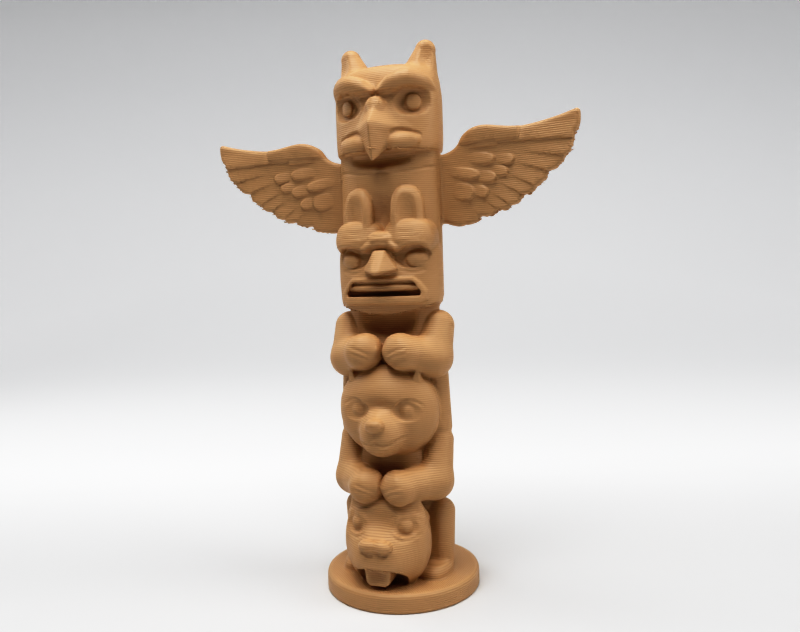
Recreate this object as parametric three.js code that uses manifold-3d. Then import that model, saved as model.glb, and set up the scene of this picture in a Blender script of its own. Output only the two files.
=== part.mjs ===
// A small totem pole, printed in one piece: an eagle with spread wings stands on a
// masked beast, the beast rests its arms on a bear, and the bear on a wolf with its
// tongue out. Millimetres, +Z up, the figures look along -Y, and the origin is the
// middle of the base's underside. Every figure is the same on both sides of X = 0.

import * as THREE from 'three';
import { mergeVertices } from 'three/addons/utils/BufferGeometryUtils.js';
import Module from 'manifold-3d';

// The sizes that the rest is worked out from.
const BASE_RADIUS = 12;
const BASE_HEIGHT = 2.9;
const BASE_EDGE = 0.7;
const HALF_HEAD = 8.4;
const WOLF_EYES = 12.1;
const BEAR_EYES = 28.9;
const BEAST_EYES = 51.4;
const EAGLE_EYES = 74.1;
const WING_TIP = 29.1;
const WING_THICKNESS = 1.5;

const wasm = await Module();
wasm.setup();

// ---- the shapes that everything is carved from ------------------------------------

const UP = new THREE.Vector3(0, 1, 0);
const { degToRad, lerp, radToDeg } = THREE.MathUtils;

// A closed geometry as a solid that can be joined and cut.
function solid(geometry) {
  geometry.deleteAttribute('normal');
  geometry.deleteAttribute('uv');
  const merged = mergeVertices(geometry, 1e-4);
  const corners = merged.index.array;
  const triVerts = [];
  for (let i = 0; i < corners.length; i += 3) {
    const [a, b, c] = corners.slice(i, i + 3);
    if (a !== b && b !== c && c !== a) triVerts.push(a, b, c);
  }
  return new wasm.Manifold(new wasm.Mesh({
    numProp: 3,
    vertProperties: new Float32Array(merged.getAttribute('position').array),
    triVerts: new Uint32Array(triVerts),
  }));
}

const join = (...solids) => solids.reduce((whole, piece) => whole.add(piece));

// Both sides of the pole: make(1) on +X and make(-1) on -X.
const pair = (make) => join(make(1), make(-1));

// An egg or a rounded block: a ball whose section is pushed out towards a box, in
// plan and upright. Squareness 2 is an egg and 6 is nearly a box. It leans about X
// and Y before it turns about Z.
function block(centre, half, { squareness = [2, 2], turn = [0, 0, 0], sides = 12 } = {}) {
  const [plan, upright] = squareness;
  const geometry = new THREE.SphereGeometry(1, sides, Math.round(sides / 2));
  geometry.rotateX(Math.PI / 2);
  const point = new THREE.Vector3();
  const place = geometry.getAttribute('position');
  for (let i = 0; i < place.count; i += 1) {
    point.fromBufferAttribute(place, i);
    const across = (Math.abs(point.x) ** plan + Math.abs(point.y) ** plan) ** (upright / plan);
    point.multiplyScalar((across + Math.abs(point.z) ** upright) ** (-1 / upright));
    place.setXYZ(i, point.x, point.y, point.z);
  }
  geometry.scale(...half);
  geometry.rotateX(degToRad(turn[0]));
  geometry.rotateY(degToRad(turn[1]));
  geometry.rotateZ(degToRad(turn[2]));
  geometry.translate(...centre);
  return solid(geometry);
}

// A pyramid from a level foot to a tip that may stand off to one side. Its edges run
// down the front and the back, and with 4 sides down the left and right too.
function spire(foot, half, tip, sides = 4) {
  const geometry = new THREE.ConeGeometry(1, 1, sides);
  geometry.rotateX(Math.PI / 2);
  const climb = Math.sign(tip[2] - foot[2]);
  if (climb < 0) geometry.rotateY(Math.PI);
  const place = geometry.getAttribute('position');
  for (let i = 0; i < place.count; i += 1) {
    const share = 0.5 + climb * place.getZ(i);
    place.setXYZ(
      i,
      place.getX(i) * half[0] + lerp(foot[0], tip[0], share),
      place.getY(i) * half[1] + lerp(foot[1], tip[1], share),
      lerp(foot[2], tip[2], share),
    );
  }
  return solid(geometry);
}

// A limb: a ball at each end and the cone that touches both.
function limb(from, to, startRadius, endRadius, sides = 8) {
  const along = new THREE.Vector3(...to).sub(new THREE.Vector3(...from));
  const length = along.length();
  const lean = Math.asin((startRadius - endRadius) / length);
  const profile = [new THREE.Vector2(0, -startRadius)];
  for (const share of [0.4, 1]) {
    const angle = lerp(-Math.PI / 2, lean, share);
    profile.push(new THREE.Vector2(startRadius * Math.cos(angle), startRadius * Math.sin(angle)));
  }
  for (const share of [0, 0.6]) {
    const angle = lerp(lean, Math.PI / 2, share);
    profile.push(new THREE.Vector2(endRadius * Math.cos(angle), length + endRadius * Math.sin(angle)));
  }
  profile.push(new THREE.Vector2(0, length + endRadius));
  const geometry = new THREE.LatheGeometry(profile, sides);
  geometry.applyQuaternion(new THREE.Quaternion().setFromUnitVectors(UP, along.normalize()));
  geometry.translate(...from);
  return solid(geometry);
}

// A limb that bends. The joints are [x, y, z, radius] on the +X side. Each length
// after the first starts a little thinner, so that its ball hides in the joint.
function bentLimb(joints, side, sides) {
  const parts = [];
  for (let i = 1; i < joints.length; i += 1) {
    const [[x0, y0, z0, r0], [x1, y1, z1, r1]] = [joints[i - 1], joints[i]];
    const start = i > 1 ? 0.9 * r0 : r0;
    parts.push(limb([x0 * side, y0, z0], [x1 * side, y1, z1], start, r1, sides));
  }
  return join(...parts);
}

// A turned post about Z, of [radius, height] points, squeezed to its own depth in
// front of the pole's middle plane and behind it.
function post(profile, { front = 1, back = 1, middle = 0, sides = 40 } = {}) {
  const geometry = new THREE.LatheGeometry(profile.map(([r, z]) => new THREE.Vector2(r, z)), sides);
  geometry.rotateX(Math.PI / 2);
  const place = geometry.getAttribute('position');
  for (let i = 0; i < place.count; i += 1) {
    const y = place.getY(i);
    place.setY(i, middle + y * (y < 0 ? front : back));
  }
  return solid(geometry);
}

// A slab that stands in the XZ plane, from its front at Y = front back.
function slab(corners, front, thickness) {
  const outline = new THREE.Shape(corners.map(([x, z]) => new THREE.Vector2(x, z)));
  const geometry = new THREE.ExtrudeGeometry(outline, { depth: thickness, bevelEnabled: false });
  geometry.rotateX(Math.PI / 2);
  geometry.translate(0, front + thickness, 0);
  return solid(geometry);
}

// A big box that cuts away everything above or below a level.
const above = (level) => slab([[-40, level], [40, level], [40, 99], [-40, 99]], -40, 80);

// Two eyes let into a head. at is on the face, and the eye looks facing degrees out
// from straight ahead: an almond hollow with the eyeball at its bottom.
function withEyes(head, { at: [x, y, z], facing, hollow: [width, height], ball, depth = 1.1 }) {
  const angle = degToRad(facing);
  let carved = head;
  for (const side of [1, -1]) {
    const turn = [0, 0, facing * side];
    const socket = block([x * side, y, z], [width, depth, height], { turn, sides: 8 });
    const inner = [(x - depth * Math.sin(angle)) * side, y + depth * Math.cos(angle), z];
    const eyeball = block(inner, [ball, 0.8 * ball, ball], { turn, sides: 8 });
    carved = carved.subtract(socket).add(eyeball);
  }
  return carved;
}

// ---- the base and the trunk ---------------------------------------------------------

const base = post([
  [0, 0],
  [BASE_RADIUS, 0],
  [BASE_RADIUS, BASE_HEIGHT - BASE_EDGE],
  [BASE_RADIUS - BASE_EDGE, BASE_HEIGHT],
  [0, BASE_HEIGHT],
], { sides: 40 });

// The trunk behind the figures: their backs and the eagle's breast in one column.
const trunk = post([
  [0, 1],
  [6.6, 1],
  [6.6, 14],
  [7.2, 20],
  [7.6, 42],
  [8.0, 46],
  [8.0, 66.5],
  [7.8, 70],
  [0, 70],
], { front: 0.5, back: 0.7, middle: -0.4, sides: 22 });

// ---- arms ----------------------------------------------------------------------------

// Arms that hang from the shoulder, bend at the elbow and meet at the middle, each
// ending in a fist over what the figure holds, with a groove between two knuckles.
function arms({ shoulder, elbow, wrist }) {
  const [x, y, z, radius] = wrist;
  return pair((side) => {
    const knuckles = [-1, 1].map((row) => block(
      [(x - 0.2 * radius) * side, y - 0.3 * radius, z + 0.4 * radius * row],
      [0.95 * radius, 0.8 * radius, 0.56 * radius],
      { turn: [0, 0, -20 * side], sides: 8 },
    ));
    return join(bentLimb([shoulder, elbow, wrist], side, 10), ...knuckles);
  });
}

// ---- the wolf ------------------------------------------------------------------------

function wolf() {
  const head = join(
    block([0, -5.6, 8.6], [6.7, 4.6, 7.0], { squareness: [2.5, 2.7], sides: 16 }),
    block([0, -8.6, 7.6], [4.7, 3.6, 3.4], { squareness: [2.3, 2.4], turn: [-14, 0, 0], sides: 12 }),
    pair((side) => spire([4.2 * side, -5.6, 11.0], [2.5, 2.4], [5.2 * side, -5.2, 16.4], 6)),
    pair((side) => block([1.3 * side, -11.7, 9.8], [1.35, 0.95, 0.85], { sides: 8 })),
  );
  const mouth = block([0, -12.4, 3.4], [4.0, 6.4, 2.3], { squareness: [3, 3], sides: 10 });
  const tongue = slab([[-1.8, 3.7], [1.8, 3.7], [2.2, 6.4], [-2.2, 6.4]], -11.0, 5);
  const eyes = { at: [4.3, -9.2, WOLF_EYES], facing: 26, hollow: [1.9, 1.35], ball: 1.0 };
  return withEyes(head, eyes).subtract(mouth).add(tongue);
}

// ---- the bear ------------------------------------------------------------------------

const bearLegs = pair((side) => join(
  limb([7.1 * side, -0.9, 12.3], [7.1 * side, -0.5, 4.4], 2.0, 1.8, 10),
  block([7.0 * side, -2.2, 3.4], [1.8, 2.9, 2.5], { sides: 10 }),
));

const bearArms = arms({
  shoulder: [7.1, -1.2, 23.3, 2.1],
  elbow: [6.6, -3.0, 17.5, 2.8],
  wrist: [2.6, -7.7, 17.2, 2.4],
});

function bear() {
  const head = join(
    block([0, -4.3, 28.4], [7.9, 4.6, 7.3], { sides: 20 }),
    limb([0, -5.2, 26.6], [0, -8.0, 26.0], 4.2, 3.0, 12),
    block([0, -10.0, 27.2], [1.7, 1.2, 1.1], { squareness: [2.4, 2.4], sides: 8 }),
    pair((side) => spire([4.7 * side, -4.9, 32.6], [1.5, 1.2], [5.6 * side, -5.8, 35.5], 4)),
  );
  const lips = block([0, -10.9, 24.2], [3.2, 1.5, 0.3], { sides: 8 });
  const eyes = { at: [4.2, -8.2, BEAR_EYES], facing: 28, hollow: [1.9, 1.25], ball: 0.95 };
  return withEyes(head, eyes).subtract(lips);
}

// ---- the beast -----------------------------------------------------------------------

const beastLegs = pair((side) => limb([6.8 * side, -1.1, 34], [7.1 * side, -1.1, 25.5], 1.8, 1.9));

const beastArms = arms({
  shoulder: [7.3, -0.9, 40.8, 2.4],
  elbow: [6.8, -2.7, 36.1, 2.9],
  wrist: [3.3, -6.3, 37.2, 2.6],
});

// The head is a drum with a flat chin. Two swollen brows carry the ears, the nose is a
// pyramid, and the mouth is a wide frame with a bar of teeth across it.
function beast() {
  const head = join(
    block([0, -1.4, 50.0], [HALF_HEAD, 4.7, 7.6], { squareness: [2.2, 3.2], sides: 18 })
      .intersect(above(43.2)),
    pair((side) => block([4.9 * side, -2.9, 54.0], [3.3, 3.2, 3.4], { squareness: [2.2, 2.5], sides: 10 })),
    block([0, -4.6, 53.4], [2.6, 1.5, 1.3], { sides: 10 }),
  );
  const eyes = { at: [4.9, -5.3, BEAST_EYES - 0.2], facing: 22, hollow: [2.2, 1.35], ball: 1.1 };
  const nose = spire([0, -5.9, 49.0], [3.1, 2.1], [0, -5.3, 53.0], 3);
  const frame = [[-5.3, 47.9], [5.3, 47.9], [6.6, 46.2], [6.3, 44.7], [-6.3, 44.7], [-6.6, 46.2]];
  const lips = slab(frame, -6.6, 5)
    .intersect(block([0, -1.3, 46.3], [9.3, 5.3, 5], { squareness: [2.2, 5], sides: 14 }));
  const mouth = slab([[-4.6, 47.4], [4.6, 47.4], [5.9, 45.3], [-5.9, 45.3]], -9, 5);
  const teeth = block([0, -1.3, 46.8], [6.0, 4.5, 0.45], { squareness: [2.2, 4], sides: 10 });
  return join(withEyes(head, eyes), lips, nose).subtract(mouth).add(teeth);
}

// The long ears stand against the eagle's breast, each with a hollow front.
const beastEars = pair((side) => {
  const turn = [0, 0, 18 * side];
  const squareness = [2.6, 2.6];
  const shell = block([3.9 * side, -4.0, 57.0], [2.5, 1.2, 4.7], { squareness, turn, sides: 10 });
  const hollow = block([4.2 * side, -5.2, 57.2], [1.6, 0.9, 3.4], { squareness, turn, sides: 8 });
  return shell.subtract(hollow);
});

// ---- the eagle -----------------------------------------------------------------------

function eagle() {
  const skull = block([0, -0.1, 72.4], [HALF_HEAD, 5.4, 8.8], { squareness: [2.3, 3.4], sides: 20 });
  const brows = pair((side) => join(
    block([2.6 * side, -4.9, 76.5], [2.7, 1.2, 1.25], { turn: [0, -14 * side, 6 * side], sides: 10 }),
    block([5.9 * side, -3.3, 76.9], [2.7, 1.2, 1.3], { turn: [0, 8 * side, 38 * side], sides: 10 }),
  ));
  const ears = pair((side) => {
    const turn = [0, 8 * side, 32 * side];
    const squareness = [2.3, 2.2];
    const horn = block([5.1 * side, 0.3, 79.4], [2.5, 1.6, 4.6], { squareness, turn, sides: 10 });
    const hollow = block([6.4 * side, -0.9, 81.2], [1.2, 0.9, 2.0], { turn, sides: 8 });
    return horn.subtract(hollow);
  });
  const eyes = { at: [5.3, -4.5, EAGLE_EYES], facing: 26, hollow: [2.3, 1.8], ball: 1.15, depth: 1.4 };
  const beak = join(
    spire([0, -4.2, 69.4], [4.3, 4.9], [0, -4.3, 75.6]),
    spire([0, -5.8, 69.6], [2.6, 3.3], [0, -7.8, 65.2]),
  );
  const pads = pair((side) => {
    const turn = [0, 0, 20 * side];
    return block([3.8 * side, -4.9, 68.3], [2.5, 1.1, 1.15], { squareness: [2.4, 2.4], turn, sides: 8 });
  });
  return join(withEyes(join(skull, brows).intersect(above(67.1)), eyes), ears, beak, pads);
}

// ---- the wings -----------------------------------------------------------------------

// A wing is a thin sheet whose top rises to a hump, dips, and rises again to the tip.
// Its trailing edge steps from notch to notch, one long feather between each two.
// All are [distance from the middle, height].
const WING_TOP = [
  [6, 66.2], [9, 66.7], [10.6, 67.5], [12, 69.2], [14.8, 70.1], [20, 69.4], [25, 70.0], [WING_TIP, 70.9],
];
const NOTCHES = [
  [28.2, 67.6], [26.9, 64.6], [24.4, 62.7], [22.6, 60.7], [20.6, 59.7],
  [18.8, 58.3], [16.9, 57.8], [14.1, 57.0], [11.6, 55.9], [8.6, 56.2],
];

// Rows of short feathers on the front, from the leading edge down. lean is how far
// they point down from the wing's length, at the inner and the outer end of the row.
const SHORT_FEATHERS = [
  { count: 3, from: [11.6, 65.4], to: [18.4, 65.7], half: [1.9, 1.1], lean: [35, 8] },
  { count: 3, from: [10.6, 62.5], to: [16.8, 63.3], half: [1.9, 1.15], lean: [55, 20] },
  { count: 2, from: [10.7, 60.0], to: [13.8, 60.8], half: [1.9, 1.2], lean: [72, 45] },
];

// The sheet sweeps forward towards the tip and back towards the trailing edge.
const sweep = (x, z) => -0.6 - 0.1 * (x - 9) + 0.1 * (67 - z);

function feather(x, z, length, width, lean, sides = 8) {
  const turn = [0, lean, -6];
  return block([x, sweep(x, z) + 0.15, z], [length, 0.65, width], { squareness: [2.5, 2.5], turn, sides });
}

function wing(side) {
  const outline = new THREE.Shape();
  outline.moveTo(...WING_TOP[0]);
  outline.splineThru(WING_TOP.slice(1).map(([x, z]) => new THREE.Vector2(x, z)));
  const feathers = [feather(15.5, 68.3, 5.2, 0.9, -1)];
  let [lastX, lastZ] = WING_TOP[WING_TOP.length - 1];
  NOTCHES.forEach(([x, z], i) => {
    outline.quadraticCurveTo((lastX + x) / 2 + 0.5, (lastZ + z) / 2 - 0.7, x, z);
    if (i > 0 && i < NOTCHES.length - 3) {
      const share = i / (NOTCHES.length - 1);
      const [tipX, tipZ] = [(lastX + x) / 2 - 0.3, (lastZ + z) / 2 + 0.2];
      const [rootX, rootZ] = [lerp(21.5, 13, share), lerp(68.3, 60, share)];
      const length = Math.hypot(tipX - rootX, tipZ - rootZ) / 2;
      const lean = radToDeg(Math.atan2(rootZ - tipZ, tipX - rootX));
      feathers.push(feather((tipX + rootX) / 2, (tipZ + rootZ) / 2, length, 1.1, lean, 6));
    }
    [lastX, lastZ] = [x, z];
  });
  outline.lineTo(6, 56.4);
  for (const row of SHORT_FEATHERS) {
    for (let i = 0; i < row.count; i += 1) {
      const share = i / (row.count - 1);
      const [x, z] = [lerp(row.from[0], row.to[0], share), lerp(row.from[1], row.to[1], share)];
      feathers.push(feather(x, z, ...row.half, lerp(...row.lean, share)));
    }
  }
  const geometry = new THREE.ExtrudeGeometry(outline, {
    depth: WING_THICKNESS, bevelEnabled: false, curveSegments: 2,
  });
  geometry.rotateX(Math.PI / 2);
  const place = geometry.getAttribute('position');
  for (let i = 0; i < place.count; i += 1) {
    place.setY(i, place.getY(i) + WING_THICKNESS + sweep(place.getX(i), place.getZ(i)));
  }
  const whole = join(solid(geometry), ...feathers);
  return side > 0 ? whole : whole.mirror([1, 0, 0]);
}

// ---- the whole piece -------------------------------------------------------------------

const pole = join(
  base,
  trunk,
  wolf(),
  bearLegs,
  bearArms,
  bear(),
  beastLegs,
  beastArms,
  beast(),
  beastEars,
  eagle(),
  pair(wing),
);

function meshOf(name, whole) {
  const { vertProperties, triVerts, numProp } = whole.getMesh();
  const geometry = new THREE.BufferGeometry();
  geometry.setAttribute('position', new THREE.BufferAttribute(Float32Array.from(vertProperties), numProp));
  geometry.setIndex(new THREE.BufferAttribute(Uint32Array.from(triVerts), 1));
  const plastic = new THREE.MeshStandardMaterial({ color: 0xb88a5c, roughness: 0.6, metalness: 0 });
  const mesh = new THREE.Mesh(geometry, plastic);
  mesh.name = name;
  return mesh;
}

const totem = new THREE.Group();
totem.add(meshOf('totem_pole', pole));

export default totem;
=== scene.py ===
import itertools
import math

import bpy
import numpy as np
import openvdb
from mathutils import Euler, Matrix, Vector


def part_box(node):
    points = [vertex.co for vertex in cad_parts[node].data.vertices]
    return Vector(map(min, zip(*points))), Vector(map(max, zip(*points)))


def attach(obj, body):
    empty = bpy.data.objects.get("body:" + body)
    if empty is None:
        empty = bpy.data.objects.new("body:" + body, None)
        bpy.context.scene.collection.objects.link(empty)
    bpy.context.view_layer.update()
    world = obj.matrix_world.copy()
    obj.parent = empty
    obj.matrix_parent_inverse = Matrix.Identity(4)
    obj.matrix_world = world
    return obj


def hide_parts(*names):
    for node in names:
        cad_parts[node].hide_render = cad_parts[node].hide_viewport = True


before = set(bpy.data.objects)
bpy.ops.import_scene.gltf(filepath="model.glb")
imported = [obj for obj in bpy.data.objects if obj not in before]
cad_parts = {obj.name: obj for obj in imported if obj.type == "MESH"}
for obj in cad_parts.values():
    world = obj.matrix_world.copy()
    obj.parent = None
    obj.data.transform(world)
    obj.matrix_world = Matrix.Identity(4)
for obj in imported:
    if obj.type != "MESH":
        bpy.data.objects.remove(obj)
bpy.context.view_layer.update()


# ---- The base ---------------------------------------------------------------------------
# The round foot that the pole is printed on: a plain disc with a softened top edge. The
# whole piece is one print, so every form here is laid into one field of distances, in
# millimetres, which becomes one skin at the end.

low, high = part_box("totem_pole")
SPAN_MM = 58.2
MM = (high.x - low.x) / SPAN_MM

CELL = 0.15
MARGIN = 0.9            # how far past a form its distances are laid
FAR = 9.0               # the distance that stands where nothing is laid

BASE_RADIUS = 12
BASE_HEIGHT = 2.9
BASE_EDGE = 0.7


def soft_min(a, b, soft):
    """The lower of two fields, with the crease between them filled over a width of soft."""
    if soft == 0:
        return np.minimum(a, b)
    near = np.maximum(soft - np.abs(a - b), 0)
    return np.minimum(a, b) - near * near * (0.25 / soft)


def soft_max(a, b, soft):
    """The higher of two fields, with the edge between them rounded over a width of soft."""
    return -soft_min(-a, -b, soft)


class Lump:
    """A block of the print: distances to its surface, below zero inside, on a lattice that
    all lumps share. Only the half with X >= 0 is kept, because both sides are alike."""

    def __init__(self, lowest, highest):
        self.first = np.floor(np.array(lowest) / CELL).astype(int)
        self.first[0] = max(self.first[0], 0)
        self.last = np.ceil(np.array(highest) / CELL).astype(int) + 1
        self.values = np.full(self.last - self.first, FAR, np.float32)

    def window(self, lowest, highest):
        """The part of the lattice inside a box, as slices and as its X, Y and Z."""
        start = np.maximum(np.floor(np.array(lowest) / CELL).astype(int), self.first)
        stop = np.minimum(np.ceil(np.array(highest) / CELL).astype(int) + 1, self.last)
        stop = np.maximum(stop, start)
        spans = tuple(slice(a, b) for a, b in zip(start - self.first, stop - self.first))
        x, y, z = (CELL * np.arange(a, b, dtype=np.float32) for a, b in zip(start, stop))
        return spans, x[:, None, None], y[None, :, None], z[None, None, :]

    def lay(self, form, soft):
        """Where a form reaches, as slices, and its distances there."""
        distance, lowest, highest = form
        room = MARGIN + soft
        spans, x, y, z = self.window(np.array(lowest) - room, np.array(highest) + room)
        return spans, distance(x, y, z)

    def place_of(self, other):
        """Where another lump, which has to lie inside this one, is on its lattice."""
        return tuple(slice(a, b) for a, b in zip(other.first - self.first, other.last - self.first))

    def add(self, form, soft=0.4):
        """Joins a form on."""
        spans, distances = self.lay(form, soft)
        self.values[spans] = soft_min(self.values[spans], distances, soft)

    def cut(self, form, soft=0.25):
        """Takes a form away."""
        spans, distances = self.lay(form, soft)
        self.values[spans] = soft_max(self.values[spans], -distances, soft)

    def keep(self, distance, soft=0.25):
        """Keeps only what is inside a form that may reach past the lattice."""
        spans, x, y, z = self.window(CELL * self.first, CELL * (self.last - 1))
        self.values[spans] = soft_max(self.values[spans], distance(x, y, z), soft)

    def merge(self, other, soft=0.4):
        """Joins another lump on."""
        spans = self.place_of(other)
        self.values[spans] = soft_min(self.values[spans], other.values, soft)

    def carve(self, other, soft=0.2):
        """Takes another lump away."""
        spans = self.place_of(other)
        self.values[spans] = soft_max(self.values[spans], -other.values, soft)


# A form is a function that gives the distance to its surface at X, Y and Z, and the lowest
# and highest corner of the box that it fills.

def post(profile, front=1.0, back=1.0, middle=0.0):
    """A turned post about Z, of (radius, height) points, squeezed in front and behind. On
    its own axis the slope is zero, so the distance has no value there."""
    radii, heights = zip(*profile)

    def distance(x, y, z):
        depth = np.where(y < middle, front, back)
        across = (y - middle) / depth
        around = np.sqrt(x * x + across * across) + 1e-6
        slope = np.sqrt(x * x + (across / depth) ** 2) / around
        side = (around - np.interp(z, heights, radii)) / slope
        ends = np.maximum(heights[0] - z, z - heights[-1])
        return soft_max(side, ends + 0 * side, 0.3)

    reach = max(radii)
    lowest = (0, middle - reach * front, heights[0])
    highest = (reach, middle + reach * back, heights[-1])
    return distance, lowest, highest


pole = Lump((0, low.y / MM - 2, -1), (high.x / MM + 1, high.y / MM + 1, high.z / MM + 1))
pole.add(post([
    (BASE_RADIUS, 0),
    (BASE_RADIUS, BASE_HEIGHT - BASE_EDGE),
    (BASE_RADIUS - 0.25 * BASE_EDGE, BASE_HEIGHT - 0.3 * BASE_EDGE),
    (BASE_RADIUS - BASE_EDGE, BASE_HEIGHT),
]), soft=0)


# ---- The trunk --------------------------------------------------------------------------
# The column behind the figures: their backs and the eagle's breast, flattened in front
# and behind, printed solid with them.

TRUNK = [(6.6, 1), (6.6, 14), (7.2, 20), (7.2, 43.6), (8.0, 45.4), (8.0, 66.5), (7.8, 70)]
pole.add(post(TRUNK, front=0.5, back=0.7, middle=-0.4), soft=0.5)


# ---- The wolf ---------------------------------------------------------------------------
# The lowest figure: a broad head set on the base, with pricked ears, a short muzzle, and
# an open mouth with the tongue hanging out between two strips of jaw.

def egg(centre, half, squareness=(2, 2), turn=(0, 0, 0)):
    """An egg or a rounded block: squareness, in plan and upright, is 2 for an egg and 6
    for nearly a box. It leans about X and Y before it turns about Z."""
    plan, upright = squareness
    turned = Euler([math.radians(angle) for angle in turn]).to_matrix()
    rows = np.array(turned.transposed(), np.float32)

    def distance(x, y, z):
        x, y, z = x - centre[0], y - centre[1], z - centre[2]
        along = [row[0] * x + row[1] * y + row[2] * z for row in rows]
        a, b, c = (np.abs(value) / size + 1e-5 for value, size in zip(along, half))
        flat = (a ** plan + b ** plan) ** (1 / plan)
        whole = (flat ** upright + c ** upright) ** (1 / upright)
        level = (flat / whole) ** (upright - 1)
        slope = np.sqrt(
            (level * (a / flat) ** (plan - 1) / half[0]) ** 2
            + (level * (b / flat) ** (plan - 1) / half[1]) ** 2
            + ((c / whole) ** (upright - 1) / half[2]) ** 2
        )
        return (whole - 1) / slope

    reach = np.abs(rows.T) @ np.array(half)
    return distance, np.array(centre) - reach, np.array(centre) + reach


def limb(start, end, start_radius, end_radius):
    """A ball at each end and the cone between them."""
    start, end = np.array(start, np.float32), np.array(end, np.float32)
    run = end - start

    def distance(x, y, z):
        x, y, z = x - start[0], y - start[1], z - start[2]
        share = np.clip((x * run[0] + y * run[1] + z * run[2]) / (run @ run), 0, 1)
        x, y, z = x - share * run[0], y - share * run[1], z - share * run[2]
        away = np.sqrt(x ** 2 + y ** 2 + z ** 2)
        return away - start_radius - share * (end_radius - start_radius)

    reach = max(start_radius, end_radius)
    return distance, np.minimum(start, end) - reach, np.maximum(start, end) + reach


def hull(corners, edge=0.3):
    """The solid that wraps round a few corners, with its edges rounded."""
    corners = np.array(corners, float)
    planes = []
    for a, b, c in itertools.combinations(corners, 3):
        normal = np.cross(b - a, c - a)
        size = np.linalg.norm(normal)
        if size < 1e-6:
            continue
        normal /= size
        heights = corners @ normal - normal @ a
        if heights.min() < -1e-6 and heights.max() > 1e-6:
            continue
        if heights.max() > 1e-6:
            normal = -normal
        if not any(np.allclose(normal, other, atol=1e-4) for other, _ in planes):
            planes.append((normal.astype(np.float32), np.float32(normal @ a)))

    def distance(x, y, z):
        whole = None
        for normal, offset in planes:
            away = normal[0] * x + normal[1] * y + normal[2] * z - offset
            whole = away if whole is None else soft_max(whole, away, edge)
        return whole

    return distance, corners.min(0), corners.max(0)


def slab(corners, front, back, edge=0.3):
    """A plate that stands in the XZ plane, from its (X, Z) corners and the Y of its faces."""
    corners = np.array(corners, np.float32)

    def distance(x, y, z):
        nearest, inside = None, False
        for (x0, z0), (x1, z1) in zip(corners, np.roll(corners, -1, 0)):
            dx, dz = x1 - x0, z1 - z0
            share = np.clip(((x - x0) * dx + (z - z0) * dz) / (dx * dx + dz * dz), 0, 1)
            away = (x - x0 - share * dx) ** 2 + (z - z0 - share * dz) ** 2
            nearest = away if nearest is None else np.minimum(nearest, away)
            crosses = ((z0 > z) != (z1 > z)) & (x < x0 + (z - z0) * dx / (dz if dz else 1))
            inside = inside ^ crosses
        outline = np.where(inside, -1, 1) * np.sqrt(nearest)
        return soft_max(outline + 0 * y, np.maximum(front - y, y - back) + 0 * outline, edge)

    (x0, z0), (x1, z1) = corners.min(0), corners.max(0)
    return distance, (x0, front, z0), (x1, back, z1)


def front_at(lump, x, z):
    """Where the front of a lump stands at X and Z, or None where nothing is there."""
    column = lump.values[round(abs(x) / CELL) - lump.first[0], :, round(z / CELL) - lump.first[2]]
    solid = np.nonzero(column < 0)[0]
    if len(solid) == 0:
        return None
    j = max(solid[0], 1)
    share = column[j - 1] / (column[j - 1] - column[j])
    return CELL * (lump.first[1] + j - 1 + share)


def bend_through(path, steps=8):
    """A smooth line through a few points, with so many steps from each to the next."""
    path = np.array(path, float)
    line = []
    for step in np.linspace(0, len(path) - 1, steps * (len(path) - 1) + 1):
        i = min(int(step), len(path) - 2)
        a, b, c, d = path[max(i - 1, 0)], path[i], path[i + 1], path[min(i + 2, len(path) - 1)]
        t = step - i
        line.append(0.5 * (2 * b + (c - a) * t + (2 * a - 5 * b + 4 * c - d) * t ** 2
                           + (3 * b - a - 3 * c + d) * t ** 3))
    return line


def score(lump, path, width, depth, fade=5):
    """Draws a line on the front of a lump, through (X, Z) points: a groove where depth is
    positive and a ridge where it is negative. It fades out at both ends."""
    line = [(x, front_at(lump, x, z), z) for x, z in bend_through(path)]
    line = np.array([point for point in line if point[1] is not None], np.float32)
    spans, x, y, z = lump.window(line.min(0) - 3 * width, line.max(0) + 3 * width)
    effect = np.zeros(lump.values[spans].shape, np.float32)
    for i in range(len(line) - 1):
        start, run = line[i], line[i + 1] - line[i]
        dx, dy, dz = x - start[0], y - start[1], z - start[2]
        share = np.clip((dx * run[0] + dy * run[1] + dz * run[2]) / (run @ run + 1e-9), 0, 1)
        away = (dx - share * run[0]) ** 2 + (dy - share * run[1]) ** 2 + (dz - share * run[2]) ** 2
        along = (i + 0.5) / (len(line) - 1)
        strength = min(1, fade * along + 0.2, fade * (1 - along) + 0.2)
        effect = np.maximum(effect, strength * np.exp(-away / width ** 2))
    lump.values[spans] += depth * effect


def carve_eye(lump, at, facing, hollow, ball, depth=0.9, bulge=0.55, tilt=0, crisp=0.2):
    """An eye on the +X side, at (X, Z): an almond hollow, and the eyeball that bulges from
    its bottom. It looks facing degrees out, and tilt lifts its outer corner."""
    angle = math.radians(facing)
    outward = np.array([math.sin(angle), -math.cos(angle), 0])
    face = np.array([at[0], front_at(lump, *at), at[1]])
    turn = (0, -tilt, facing)
    width, height = hollow
    lump.cut(egg(face, (width, depth, height), (2, 1.8), turn), soft=crisp)
    middle = face - (depth - bulge + 0.9 * ball) * outward
    lump.add(egg(middle, (ball, 0.9 * ball, ball), turn=turn), soft=0.3)


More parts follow.
